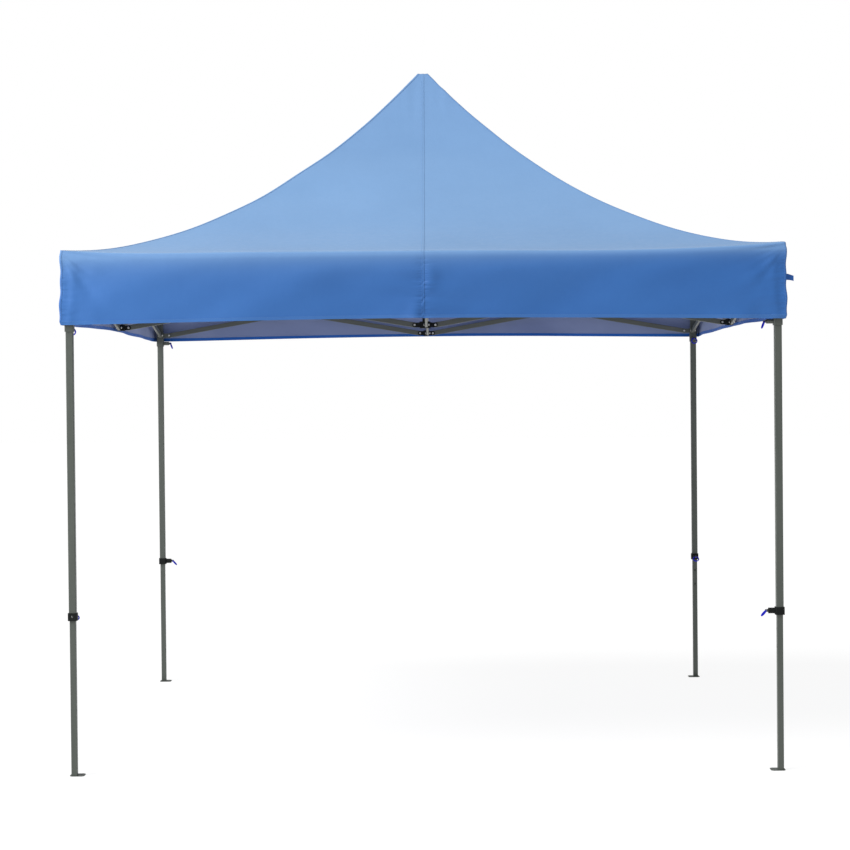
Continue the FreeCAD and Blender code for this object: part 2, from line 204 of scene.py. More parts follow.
def seam_puckers(shader, strength):
    """Short gathers that cross each seam and fade a few centimetres from it."""
    near = shader.attribute("seam_distance")
    fade = shader.math("POWER", 2.718, shader.math("MULTIPLY", near, -PUCKER_FADE))
    along = shader.attribute("seam_along")
    combined = shader.node("ShaderNodeCombineXYZ")
    shader.link(shader.math("MULTIPLY", near, PUCKERS_ACROSS), combined.inputs[0])
    shader.link(shader.math("MULTIPLY", along, PUCKERS_ALONG), combined.inputs[1])
    gathers = shader.math("SUBTRACT", shader.noise(1.0, 2, combined.outputs[0]), 0.5)
    # The painted light amount also marks the roof, where the puckers are calmer
    calm = shader.math("MULTIPLY", shader.attribute("painted_light_amount"), ROOF_CALM)
    fade = shader.math("MULTIPLY", fade, shader.math("SUBTRACT", 1.0, calm))
    shader.bump(shader.math("MULTIPLY", gathers, fade), strength, 0.010)


RAMP_PER_METRE = 20.0  # of the distance from a seam, along the colour ramp that shades the tape
TAPE_SHADE = 0.78  # of the tape that covers each seam inside, 10 mm to either side


def fabric_material(name, colours, sheen, puckers=False, painted_light_colours=None, taped=False):
    """Coated polyester: clouded colour, a crinkled coating and a fine weave. Some of it is lightened with
    painted light.
    """
    shader = Shader(name)
    shader.set(Roughness=0.6, Sheen_Weight=sheen, Sheen_Roughness=0.45, Specular_IOR_Level=0.3)
    shader.set(Sheen_Tint=(0.90, 0.95, 1.0, 1))
    clouds = shader.noise(1.7, 4, shader.coordinates((1, 1, 1.6)))
    colour = shader.ramp(clouds, [(0.30, colours[0]), (0.70, colours[1])])
    # Painted light: mixes toward a lighter copy of the colours, as much as each point's painted light amount
    # says
    if painted_light_colours:
        mix = shader.node("ShaderNodeMix", data_type="RGBA")
        shader.link(shader.attribute("painted_light_amount"), mix.inputs[0])
        shader.link(colour, mix.inputs[6])
        shader.link(shader.ramp(clouds, [(0.30, painted_light_colours[0]), (0.70, painted_light_colours[1])]), mix.inputs[7])
        colour = mix.outputs[2]
    if taped:
        near = shader.math("MULTIPLY", shader.attribute("seam_distance"), RAMP_PER_METRE)
        shade = shader.ramp(near, [(0.20, TAPE_SHADE), (0.24, 1.0)])
        darken = shader.node("ShaderNodeMix", data_type="RGBA", blend_type="MULTIPLY")
        darken.inputs[0].default_value = 1.0
        shader.link(colour, darken.inputs[6])
        shader.link(shade, darken.inputs[7])
        colour = darken.outputs[2]
    shader.colour(colour)
    shader.rough(shader.ramp(shader.noise(34, 3), [(0.3, 0.52), (0.7, 0.66)]))
    shader.bump(shader.noise(9, 3, roughness=0.5), 0.16, 0.012)
    if puckers:
        seam_puckers(shader, 0.9)
    weave(shader, 0.0022, 0.22)
    return shader.material


def paint_material(name, dark, light, stretch):
    """Satin powder coat: a fine orange peel, faint rubbed streaks along the tube and small colour drift."""
    shader = Shader(name)
    shader.set(Metallic=0.0, Roughness=0.45, Specular_IOR_Level=0.5, Coat_Weight=0.12, Coat_Roughness=0.35)
    streaks = shader.noise(1.0, 5, shader.coordinates(stretch), 0.6)
    shader.colour(shader.ramp(streaks, [(0.25, dark), (0.75, light)]))
    shader.rough(shader.ramp(shader.noise(55, 4), [(0.3, 0.36), (0.7, 0.52)]))
    shader.bump(shader.noise(420, 2), 0.10, 0.0006)
    return shader.material


def plastic_material(name, colour, lighter, grain=0.25):
    shader = Shader(name)
    shader.set(Specular_IOR_Level=0.16)
    shader.colour(shader.ramp(shader.noise(24, 4), [(0.3, colour), (0.75, lighter)]))
    shader.rough(shader.ramp(shader.noise(90, 3), [(0.3, 0.50), (0.7, 0.66)]))
    shader.bump(shader.noise(700, 2), grain, 0.0004)
    return shader.material


def metal_material(name, dark, light, roughness):
    shader = Shader(name)
    shader.set(Metallic=1.0)
    shader.colour(shader.ramp(shader.noise(180, 4), [(0.3, dark), (0.7, light)]))
    spread = [(0.3, roughness - 0.08), (0.7, roughness + 0.08)]
    shader.rough(shader.ramp(shader.noise(320, 3), spread))
    shader.bump(shader.noise(500, 2), 0.08, 0.0003)
    return shader.material


# Colours: the two ends that each material drifts between
VALANCE_BLUE = ((0.019, 0.100, 0.322), (0.025, 0.120, 0.368))
# Painted light: the roof's blue is a lighter copy of the valance's cloth, for light falling on it from above
ROOF_PAINTED_LIGHT_BLUE = ((0.165, 0.304, 0.520), (0.184, 0.330, 0.553))
SILVER = ((0.165, 0.208, 0.370), (0.220, 0.268, 0.450))
TAPE_BLUE = ((0.025, 0.106, 0.335), (0.034, 0.127, 0.376))
# Painted light: a lighter copy of the tape's blue, for where it lies on the roof
TAPE_PAINTED_LIGHT_BLUE = ((0.146, 0.278, 0.492), (0.163, 0.300, 0.522))
THREAD_BLUE = ((0.060, 0.160, 0.380), (0.080, 0.190, 0.420))
# Painted light: a lighter copy of the thread's blue, for where it lies on the roof
THREAD_PAINTED_LIGHT_BLUE = ((0.140, 0.272, 0.486), (0.160, 0.297, 0.518))
HEM_BLUE = ((0.003, 0.085, 0.380), (0.006, 0.105, 0.440))
WEBBING_BLUE = ((0.02, 0.10, 0.36), (0.03, 0.13, 0.42))
UPRIGHT_GREY = ((0.050, 0.059, 0.050), (0.068, 0.078, 0.067))
BAR_GREY = ((0.060, 0.067, 0.057), (0.080, 0.087, 0.074))
BLACK = ((0.0035, 0.0045, 0.0042), (0.007, 0.0085, 0.008))
RING_BLUE = ((0.001, 0.002, 0.36), (0.003, 0.006, 0.46))
ZINC = ((0.42, 0.42, 0.40), (0.62, 0.61, 0.58))
DARK_ZINC = ((0.10, 0.105, 0.105), (0.17, 0.175, 0.17))

# The outside cloth, its tapes and its threads mix toward their lighter painted-lit copies where painted light
# is set
fabric_outside = fabric_material(
    "fabric_outside", VALANCE_BLUE, sheen=0.12, puckers=True, painted_light_colours=ROOF_PAINTED_LIGHT_BLUE
)
fabric_inside = fabric_material("fabric_inside", SILVER, sheen=0.05, taped=True)
tape_fabric = fabric_material("tape_fabric", TAPE_BLUE, sheen=0.10, painted_light_colours=TAPE_PAINTED_LIGHT_BLUE)
webbing = fabric_material("webbing", WEBBING_BLUE, sheen=0.10)
thread = fabric_material("sewing_thread", THREAD_BLUE, sheen=0.05, painted_light_colours=THREAD_PAINTED_LIGHT_BLUE)
hem_inside = fabric_material("hem_inside", HEM_BLUE, sheen=0.05)
upright_paint = paint_material("upright_paint", *UPRIGHT_GREY, stretch=(60, 60, 2.5))
bar_paint = paint_material("bar_paint", *BAR_GREY, stretch=(4, 4, 60))
black_plastic = plastic_material("black_plastic", *BLACK)
blue_coat = plastic_material("blue_coat", *RING_BLUE, grain=0.1)
zinc = metal_material("zinc", *ZINC, roughness=0.32)
dark_zinc = metal_material("dark_zinc", *DARK_ZINC, roughness=0.40)


def islands(obj):
    """The faces of each solid in a mesh, as lists, with each solid's box."""
    mesh = obj.data
    count = len(mesh.vertices)
    co = np.empty(count * 3)
    mesh.vertices.foreach_get("co", co)
    co = co.reshape(-1, 3)
    keys, number = np.unique(np.round(co, 6), axis=0, return_inverse=True)
    number = number.ravel()
    parent = np.arange(len(keys))
    ends = np.empty(len(mesh.edges) * 2, int)
    mesh.edges.foreach_get("vertices", ends)
    a, b = number[ends[0::2]], number[ends[1::2]]
    while True:
        low = np.minimum(parent[a], parent[b])
        before = parent.copy()
        np.minimum.at(parent, a, low)
        np.minimum.at(parent, b, low)
        parent = parent[parent]
        if (parent == before).all():
            break
    first = np.array([p.vertices[0] for p in mesh.polygons])
    group = parent[number[first]]
    found = []
    for g in np.unique(group):
        points = keys[parent == g]
        found.append((np.nonzero(group == g)[0], points.min(0), points.max(0)))
    return found


def dress(name, choose, materials):
    """Gives a CAD node its materials: choose says which one each of its solids has, from the solid's box."""
    obj = frame["nodes"][name]
    obj.data.materials.clear()
    for material in materials:
        obj.data.materials.append(material)
    index = np.zeros(len(obj.data.polygons), int)
    for faces, low, high in islands(obj):
        index[faces] = choose(low, high)
    obj.data.polygons.foreach_set("material_index", index)


# ---------------------------------------------------------------- fabric


def wave_table(seed, count, longest, shortest, steepness, stretch=(1, 1, 1)):
    """Sine waves through space as (amplitude, vector, phase), each as steep as the next."""
    rng = np.random.default_rng(seed)
    table = []
    for n in range(count):
        length = longest * (shortest / longest) ** (n / (count - 1))
        way = rng.normal(size=3)
        vector = 2 * math.pi / length * way / np.linalg.norm(way) / np.array(stretch)
        table.append((steepness * length / (2 * math.pi), vector, rng.uniform(0, 2 * math.pi)))
    return table


def waves(p, table):
    return sum(amplitude * np.sin(p @ vector + phase) for amplitude, vector, phase in table)


def cloth_rest(s, v):
    """The front's plain shape: s runs from hip to hip (-1 to 1), v down: 0-1 roof, 1-2 edge, 2-3 valance."""
    middle = np.tanh((1 - np.abs(s)) / 0.2)
    first, last = PEAK_FLAT / HALF_TOP, 1 - EAVE_BAND / HALF_TOP
    r = first + (last - first) * np.clip(v, 0, 1)
    share = np.clip((1 - r) / (1 - first), 0, 1)
    z = EAVE_Z + (PEAK_Z - EAVE_Z) * (0.75 * share ** ROOF_POWERS[0] + 0.25 * share ** ROOF_POWERS[1])
    z = z + (CORNER_RISE * (1 - middle) - EAVE_SAG * middle) * r**5
    z = z - PANEL_SAG * (1 - s * s) * np.sin(np.pi * r) ** 1.2
    y = -r * HALF_TOP
    # The edge rolls over on a quarter of an ellipse, as wide as the band.
    turn = np.clip(v - 1, 0, 1) * (np.pi / 2)
    y = np.where(v > 1, -HALF_TOP + EAVE_BAND * (1 - np.sin(turn)), y)
    z = z - (EDGE_DROP + EDGE_DROP_MIDDLE * middle) * (1 - np.cos(turn))
    hem_z = HEM_Z + HEM_RISE * np.cos(np.pi * s / 2) ** 1.3
    z = z + (hem_z - z) * np.clip(v - 2, 0, 1)
    return np.stack([-s * y, y, z], -1)


ROOF_WAVES = wave_table(3, 7, 1.6, 0.25, 0.016)
VALANCE_WAVES = wave_table(5, 7, 1.3, 0.28, 0.028)
CRINKLES = wave_table(21, 5, 0.11, 0.05, 0.032)
CREASES = wave_table(8, 6, 0.12, 0.032, 0.080)
STREAKS = wave_table(11, 8, 0.34, 0.10, 0.054, (3.0, 1, 1))  # long folds, from the pull between the corners

# How far each part of the cloth's relief stands out
SLACK = 0.005  # the whole valance
FAN, FINE_FAN = 0.0034, 0.0026  # folds that fan out from each top corner
RIDGE, DITCH = 0.0030, 0.0016  # the soft upright fold beside each corner
VALLEY = 0.0024  # along the centre seam
GATHER, BULGE, DRAG = 0.0030, 0.0075, 0.0016  # beside the centre seam, down the valance
CORNER_SEAM = 0.0085


def bell(distance, width):
    return np.exp(-((distance / width) ** 2))


def corner_folds(s, across, fall, down, side):
    """Folds that fan out from each top corner, and a soft upright fold beside it."""
    reach, angle = np.hypot(across, fall), np.arctan2(fall, across + 1e-4)
    wide = np.sin(8 * angle + 2.1 * side + 1.6 * np.sign(s)) + 0.5 * np.sin(15 * angle + 12 * reach + side)
    wide = wide * np.exp(-reach / 0.24) * smooth(reach / 0.05)
    fine = np.sin(23 * angle + 9 * reach + 1.7 * side) * np.exp(-reach / 0.13) * smooth(reach / 0.04)
    ridge = bell(across - 0.040 - 0.012 * np.sin(11 * fall + side), 0.016)
    ditch = bell(across - 0.085 - 0.020 * np.sin(7 * fall), 0.030)
    fan = (FAN * wide + FINE_FAN * fine) * smooth((across - 0.01) / 0.07)
    return fan + (RIDGE * ridge - DITCH * ditch) * smooth(down / 0.3)


def centre_folds(x, z, v, down, side):
    """Gathers, a bulge and drag lines beside the centre seam, down the valance."""
    far = np.abs(x)
    gathers = np.sin(255 * z + 3.5 * np.sin(47 * z + side) + 0.8 * np.sign(x))
    gathers = gathers * (0.55 + 0.45 * np.sin(83 * z + 2.0 + side))
    gathers = gathers * np.exp(-far / 0.022) * smooth(v - 1.8) * smooth(far / 0.006)
    bulge = bell(x - 0.035 * np.sin(19 * z + 2.2 * side), 0.034) * (0.6 + 0.4 * np.sin(31 * z + side))
    drag = np.sin(88 * z + 7 * x + side) * np.exp(-far / 0.10)
    return GATHER * gathers + (BULGE * bulge + DRAG * drag) * smooth(v - 1.6) * smooth(down / 0.25)


def corner_seams(flat, across, z, down):
    """The corner seams' bulges and pinches, with small creases beside them."""
    wobble = 0.5 + 0.5 * np.sin(23 * z + 1.3) + 0.35 * np.sin(67 * z + 2.0)
    corner = np.exp(-across / 0.045) * smooth(down / 0.08) * smooth((1 - down) / 0.05)
    near = np.exp(-across / 0.11) * smooth(across / 0.02) * smooth(down / 0.15)
    return CORNER_SEAM * corner * wobble + waves(flat, CREASES) * near


def relief(base, world, s, v, side):
    """How far the cloth stands out of its plain shape. World waves agree where two sides meet."""
    x, z = base[..., 0], base[..., 2]
    flat = base * np.array([1, 0, 1]) + np.array([7.0 * side, 0, 0])
    across = (1 - np.abs(s)) * HALF_TOP
    fall = np.maximum(EAVE_Z - z, 0) + 1e-4
    valance = smooth(v - 1.4)
    down = np.clip(v - 2, 0, 1)
    free = 0.12 + 0.88 * down**1.2  # the valance is free to move at its hem only
    calm = smooth((PEAK_Z - 0.1 - z) / 0.35)  # the cloth is taut round the peak
    height = waves(world, ROOF_WAVES) * (1 - valance) * calm
    height = height + (waves(world, VALANCE_WAVES) + SLACK) * valance * free
    height = height + waves(flat, STREAKS) * smooth((across - 0.01) / 0.07) * valance * smooth(down / 0.25)
    height = height - VALLEY * bell(x, 0.020) * (0.12 + 0.88 * valance) * calm
    # Small crinkles gather under the peak.
    height = height + waves(world, CRINKLES) * bell(np.hypot(x, base[..., 1]) - 0.15, 0.10) * (v < 1)
    corners = corner_folds(s, across, fall, down, side) + corner_seams(flat, across, z, down)
    return height + corners * valance + centre_folds(x, z, v, down, side)


# Painted light: 0 is the valance's deep blue and 1 the roof's lighter painted-lit blue of the same cloth
ROOF_PAINTED_LIGHT, EDGE_PAINTED_HIGHLIGHT = 0.90, 0.10  # painted light on the roof, and a painted highlight along its edge
EAVE_PAINTED_LIGHT = 0.58  # painted light just under the eave, from where it fades
LEFT_END_PAINTED_LIGHT = 0.045  # painted light added along the whole valance toward the left end
PAINTED_LIGHT_FADE_TOP = 0.004, 0.013  # how far below the eave's sag the painted light's fade begins: everywhere, and more to the left
PAINTED_LIGHT_FADE_DEPTH = 0.017, 0.024  # how quickly the painted light fades: everywhere, and less so to the left


def cloth_points(s, v, side, lift=0.0):
    """Points of one side's cloth, lifted off its outer face and turned to that side, and how much painted
    light each gets.
    """
    base = cloth_rest(s, v)
    step = 1e-3
    along = cloth_rest(np.clip(s + step, -1, 1), v) - cloth_rest(np.clip(s - step, -1, 1), v)
    down = cloth_rest(s, np.clip(v + step, 0, 3)) - cloth_rest(s, np.clip(v - step, 0, 3))
    normal = np.cross(down, along)
    normal /= np.linalg.norm(normal, axis=-1, keepdims=True) + 1e-12
    # At a hip the two sides share one normal, so that their edges stay together.
    flat = (np.abs(normal[..., 0]) + np.abs(normal[..., 1])) / 2
    hip = np.stack([flat * np.sign(s), -flat, normal[..., 2]], -1)
    mix = smooth((np.abs(s) - 0.93) / 0.07)[..., None]
    normal = normal * (1 - mix) + hip * mix
    angle = side * math.pi / 2
    cosine, sine = math.cos(angle), math.sin(angle)
    turn = np.array([[cosine, sine, 0], [-sine, cosine, 0], [0, 0, 1]])
    world = base @ turn
    height = relief(base, world, s, v, side) + lift
    # Painted light: the more a point faces up, the lighter it is; a painted highlight runs along the roof's
    # edge; painted light fades down under the eave, and there is more of it toward the left end
    left = (1 - world[..., 0] / HALF_TOP) / 2
    fall = np.maximum(EAVE_Z - EAVE_SAG - PAINTED_LIGHT_FADE_TOP[0] - PAINTED_LIGHT_FADE_TOP[1] * left - base[..., 2], 0)
    eave_painted_light = np.exp(-fall / (PAINTED_LIGHT_FADE_DEPTH[0] + PAINTED_LIGHT_FADE_DEPTH[1] * left)) * (v > 1)
    pale = ROOF_PAINTED_LIGHT * smooth(normal[..., 2] / 0.85) + EDGE_PAINTED_HIGHLIGHT * bell(v - 0.975, 0.018)
    pale = np.maximum(pale, LEFT_END_PAINTED_LIGHT * left + EAVE_PAINTED_LIGHT * eave_painted_light)
    return (base + normal * height[..., None]) @ turn, pale


# Folding: each hook follows a body that only slides, so the cloth follows by sums of straight moves.
PULL_BODIES = [f"{side}_upper_bracket" for side in SIDES] + ["peak_pole", "center_lower_hub"]
STILL = 0.030  # half width of the middle strip that doesn't gather
LEG_INSIDE = 1.442  # cloth farther out than this lies on a leg's top and keeps its place there
LOBE_START = 0.034  # where the first hanging lobe begins
LOBE_OPEN = 0.018  # how much less than the rest the lobes gather, so that their pleats stay apart
POLE_DROP = 0.9147  # how far the peak pole comes down
FOLDED_ROOF_Z, FOLDED_PEAK_Z = 2.192, 2.204  # heights of the roof and of its peak when folded
SWAG = 0.54  # how far the lobes hang down, as a share of the lower hub's drop
BILLOW_OUT = 0.150  # how far they stand out, as a share of a bracket's way in
PUFF = 0.034  # how high the roof puffs up between the trusses
PUFF_START, PUFF_WIDTH = 0.06, 1.40  # of each puff, from the middle of the roof
CAP_HELD = 0.12  # half width of the roof that stays with the pole's cap


def fold_weights(s, v, side):
    """For each point of a side's cloth, how much of each body's move it makes."""
    base = cloth_rest(s, v)
    x, y, z = np.abs(base[..., 0]), -base[..., 1], base[..., 2]
    weights = {name: np.zeros(x.shape) for name in PULL_BODIES}
    gather = LEG_INSIDE - STILL
    inward_x, inward_y = (np.clip((a - STILL) / gather, 0, 1) for a in (x, y))
    over = np.clip(v - 1, 0, 1)
    down = np.clip(v - 2, 0, 1)
    t = np.clip((x - LOBE_START) / (LEG_INSIDE - LOBE_START), 0, 1)
    lobe = smooth(np.minimum(t, 1 - t) / 0.32) ** 0.7
    uneven = 1 + 0.10 * np.sin(2.4 * side + 1.1 * np.sign(s) + 0.5)
    folds = np.sin(2 * np.pi * 2.5 * t + 1.3 * side + np.sign(s))
    folds = folds + 0.4 * np.sin(2 * np.pi * 6 * t + 2.0 * side)
    hang = smooth(over) * 0.25 + 0.75 * over
    weights["center_lower_hub"] += SWAG * uneven * lobe * hang * (1 + 0.09 * folds * over)
    billow = np.sin(np.clip(over * 0.62, 0, 1) * np.pi) ** 0.7 * (1 - 0.55 * down)
    out = BILLOW_OUT * uneven * lobe**0.8 * billow * (1 + 0.28 * folds * over)
    weights[PULL_BODIES[(side + 2) % 4]] += out
    weights[PULL_BODIES[side]] += inward_y
    spread = inward_x * (1 - LOBE_OPEN * lobe * over)
    left, right = PULL_BODIES[(side + 3) % 4], PULL_BODIES[(side + 1) % 4]
    weights[left] += np.where(s < 0, spread, 0)
    weights[right] += np.where(s >= 0, spread, 0)
    # The roof sinks with the pole, and puffs up between the trusses.
    puff_x, puff_y = (
        np.sin(np.pi * np.clip((a - PUFF_START) / PUFF_WIDTH, 0, 1)) ** 0.8 for a in (x, y)
    )
    goal = FOLDED_ROOF_Z + PUFF * (puff_x * puff_y) ** 0.5 * (1 + 0.20 * np.sin(6 * x + side) * np.sin(6 * y))
    peak = smooth((CAP_HELD - np.maximum(x, y)) / 0.10)
    goal = goal * (1 - peak) + FOLDED_PEAK_Z * peak
    sink = np.clip((z - goal) / POLE_DROP, 0, 1)
    weights["peak_pole"] += np.where(v <= 1, sink, 0)
    return weights


def follow_fold(obj, weights):
    """Hooks a sewn piece's vertices to the bodies that pull the cloth."""
    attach(obj, "center_upper_hub")
    for name in PULL_BODIES:
        group = obj.vertex_groups.new(name=name)
        values = np.clip(weights[name].ravel(), 0, 1)
        for index in np.nonzero(values > 1e-5)[0]:
            group.add([int(index)], float(values[index]), "REPLACE")
        hook = obj.modifiers.new(f"pull_{name}", "HOOK")
        hook.object = frame["bodies"][name]
        hook.vertex_group = name
        hook.falloff_type = "NONE"


def new_mesh(name, points, faces, materials):
    mesh = bpy.data.meshes.new(name)
    mesh.from_pydata(points.reshape(-1, 3).tolist(), [], faces)
    for material in materials:
        mesh.materials.append(material)
    mesh.polygons.foreach_set("use_smooth", [True] * len(mesh.polygons))
    mesh.update()
    obj = bpy.data.objects.new(name, mesh)
    bpy.context.scene.collection.objects.link(obj)
    return obj


def spacing(length, smallest, largest, growth):
    """Positions from 0 to length, close together at both ends."""
    at, found = 0.0, [0.0]
    while at < length:
        at += min(max(smallest, growth * min(at, length - at)), largest)
        found.append(at)
    return np.array(found) / found[-1]


def add_uv(mesh, name, values):
    layer = mesh.uv_layers.new(name=name)
    loops = np.empty(len(mesh.loops), int)
    mesh.loops.foreach_get("vertex_index", loops)
    layer.data.foreach_set("uv", values[loops].astype(np.float32).ravel())


def add_attribute(mesh, name, values):
    mesh.attributes.new(name, "FLOAT", "POINT").data.foreach_set("value", values.astype(np.float32).ravel())


ROOF_ROWS, EDGE_ROWS, VALANCE_ROWS = 84, 14, 76


def cloth_rows():
    roof = np.linspace(0, 1, ROOF_ROWS)[:-1] ** 1.35
    edge = np.linspace(1, 2, EDGE_ROWS)[:-1]
    return np.concatenate([roof, edge, np.linspace(2, 3, VALANCE_ROWS)])


def cloth_columns():
    """One side's columns, close together at the hips and the centre seam. The last hip is the next side's."""
    half = spacing(HALF_TOP, 0.003, 0.028, 0.16)
    return np.concatenate([-half[::-1], half[1:-1]])


def quads(rows, columns, start=0, closed=False):
    """The faces of a grid of points, row by row. A closed grid's last column joins its first."""
    faces = []
    for first in range(start, start + (rows - 1) * columns, columns):
        for j in range(columns if closed else columns - 1):
            k = (j + 1) % columns
            faces.append((first + j, first + columns + j, first + columns + k, first + k))
    return faces


def make_canopy():
    """The roof and the valance as one sheet of quads, closed round the four sides."""
    rows = cloth_rows()
    s, v = np.meshgrid(cloth_columns(), rows)
    points, painted_light_amounts, weights, uvs, near, along = [], [], [], [], [], []
    for side in range(4):
        placed, pale = cloth_points(s, v, side)
        points.append(placed)
        painted_light_amounts.append(pale)
        weights.append(fold_weights(s, v, side))
        base = cloth_rest(s, v)
        length = np.concatenate([[0], np.cumsum(np.linalg.norm(np.diff(base[:, 0], axis=0), axis=1))])
        uvs.append(np.stack([base[..., 0] + 4 * side, np.broadcast_to(length[:, None], s.shape)], -1))
        to_hip = (np.minimum(-base[..., 1], HALF_TOP) - np.abs(base[..., 0])) * np.where(v > 1.5, 1, 0.75)
        near.append(np.minimum(np.abs(base[..., 0]), np.maximum(to_hip, 0)))
        along.append(np.broadcast_to(length[:, None], s.shape))
    points = np.concatenate(points, 1)
    columns = points.shape[1]
    merged = {name: np.concatenate([w[name] for w in weights], 1) for name in PULL_BODIES}
    centre = len(rows) * columns
    faces = quads(len(rows), columns, closed=True)
    faces += [(centre, j, (j + 1) % columns) for j in range(columns)]
    flat = np.concatenate([points.reshape(-1, 3), [[0, 0, PEAK_Z + 0.001]]])
    obj = new_mesh("canopy_fabric", flat, faces, [fabric_outside, fabric_inside])
    pulls = {name: np.append(w.ravel(), 0.0) for name, w in merged.items()}
    pulls["peak_pole"][-1] = 1.0
    follow_fold(obj, pulls)
    add_uv(obj.data, "cloth", np.concatenate([np.concatenate(uvs, 1).reshape(-1, 2), [[0, 0]]]))
    add_attribute(obj.data, "seam_distance", np.append(np.concatenate(near, 1).ravel(), 0))
    add_attribute(obj.data, "seam_along", np.append(np.concatenate(along, 1).ravel(), 0))
    # Painted light: how much of the lighter painted-lit blue each point gets
    add_attribute(obj.data, "painted_light_amount", np.append(np.concatenate(painted_light_amounts, 1).ravel(), 1))
    thick = obj.modifiers.new("cloth_thickness", "SOLIDIFY")
    thick.thickness = FABRIC
    thick.offset = -1
    thick.material_offset = 1
    thick.material_offset_rim = 0
    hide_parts("canopy_top")
    return obj


canopy = make_canopy()


# ---------------------------------------------------------------- seam tapes, hem and stitches


def patch_values(side, s, v, lift):
    """A patch of sewn cloth, point by point: place (3), painted light amount, flat coordinates (2), each
    body's pull.
    """
    placed, pale = cloth_points(s, v, side, lift)
    base = cloth_rest(s, v)
    flat = [base[..., 0], base[..., 2] + base[..., 1]]
    pulls = fold_weights(s, v, side)
    return np.concatenate([placed, np.stack([pale, *flat, *(pulls[body] for body in PULL_BODIES)], -1)], -1)


def sewn_mesh(name, values, faces, materials, thickness, least_painted_light=0.0):
    """A piece of cloth that follows the fold. A second material is its inner face's."""
    obj = new_mesh(name, values[:, :3], faces, materials)
    # Painted light: how much of the lighter painted-lit colour each point gets, never under the given least
    # amount
    add_attribute(obj.data, "painted_light_amount", np.maximum(values[:, 3], least_painted_light))
    add_uv(obj.data, "cloth", values[:, 4:6])
    follow_fold(obj, dict(zip(PULL_BODIES, values[:, 6:].T)))
    thick = obj.modifiers.new("thickness", "SOLIDIFY")
    thick.thickness = thickness
    thick.offset = -1
    thick.material_offset = len(materials) - 1
    thick.material_offset_rim = len(materials) - 1
    return obj


def strips_mesh(name, strips, materials, lift, thickness, least_painted_light=0.0):
    """Strips laid on the canopy, each a row of (side, s grid, v grid) patches, joined edge to edge."""
    values, faces, start = [], [], 0
    for patches in strips:
        grid = np.concatenate([patch_values(side, s, v, lift) for side, s, v in patches], 1)
        rows, columns = grid.shape[:2]
        faces += quads(rows, columns, start)
        values.append(grid.reshape(rows * columns, -1))
        start += rows * columns
    return sewn_mesh(name, np.concatenate(values), faces, materials, thickness, least_painted_light)


def distance_out(v):
    """How far the rows of the cloth stand from the centre, measured at the middle of a side."""
    return np.maximum(-cloth_rest(np.zeros(len(v)), v)[:, 1], PEAK_FLAT)


TAPE_EDGE = 0.94  # of a tape's half width, where its flat ends and its edge begins


def centre_tapes():
    """A flat felled seam down the middle of each side."""
    rows = cloth_rows()
    share = np.array([-1, -TAPE_EDGE, -0.5, 0, 0.5, TAPE_EDGE, 1])
    s = share[None, :] * (0.006 / distance_out(rows)[:, None])
    v = np.broadcast_to(rows[:, None], s.shape)
    strips = [[(side, s, v)] for side in range(4)]
    return strips_mesh("centre_seams", strips, [fabric_outside], lift=0.0008, thickness=0.0008)


def hip_tapes():
    """Tape folded over each hip and down each corner, half on either side."""
    rows = cloth_rows()
    share = np.array([1, TAPE_EDGE, 0.5, 0])
    s = 1 - share[None, :] * (TAPE_HALF / distance_out(rows)[:, None]).clip(0, 0.5)
    v = np.broadcast_to(rows[:, None], s.shape)
    strips = [[(side, s, v), ((side + 1) % 4, -s[:, -2::-1], v[:, 1:])] for side in range(4)]
    return strips_mesh("hip_tapes", strips, [tape_fabric], lift=0.0009, thickness=0.0009)


def hem():
    """The valance's turned up hem, doubled, with a rounded bottom edge, all the way round."""
    share = np.concatenate([[1], np.linspace(0.97, 0.03, 6), [0]])
    s, v = np.meshgrid(cloth_columns(), 3 - share * HEM_DEEP / (EAVE_Z - HEM_Z))
    ring = [(side, s, v) for side in range(4)] + [(0, s[:, :1], v[:, :1])]
    faced = [fabric_outside, hem_inside]
    # Painted light: the hem always gets a little of the roof's lighter painted-lit blue, a lighter band along
    # the bottom
    return strips_mesh("valance_hem", [ring], faced, lift=0.0011, thickness=0.0026, least_painted_light=0.07)


STITCH_PITCH, STITCH_LENGTH, STITCH_WIDTH = 0.0065, 0.0045, 0.0010
STITCH_LIFT, CROWN_LIFT = 0.0006, 0.0019  # of a stitch's ends and of its middle, off the cloth


def stitch_rows():
    """(side, s, v, s, v) of every stitch's two ends: hem, centre seams and both sides of every hip tape."""
    found = []
    steps = np.arange(-HALF_TOP + 0.01, HALF_TOP - 0.01, STITCH_PITCH)
    hem_v = np.full(len(steps), 3 - (HEM_DEEP - 0.0035) / (EAVE_Z - HEM_Z))
    fine = np.linspace(0.01, 2.92, 6000)
    line = cloth_rest(np.zeros(len(fine)), fine)
    run = np.concatenate([[0], np.cumsum(np.linalg.norm(np.diff(line, axis=0), axis=1))])
    at = np.arange(0.03, run[-1], STITCH_PITCH)
    v0, v1 = np.interp(at, run, fine), np.interp(at + STITCH_LENGTH, run, fine)
    out0, out1 = distance_out(v0), distance_out(v1)
    for side in range(4):
        found.append((side, steps / HALF_TOP, hem_v, (steps + STITCH_LENGTH) / HALF_TOP, hem_v))
        for sign in (-1, 1):
            offset = sign * 0.0042
            found.append((side, offset / out0, v0, offset / out1, v1))
            inset = TAPE_HALF - 0.0025
            found.append((side, sign * (1 - inset / out0), v0, sign * (1 - inset / out1), v1))
    return found


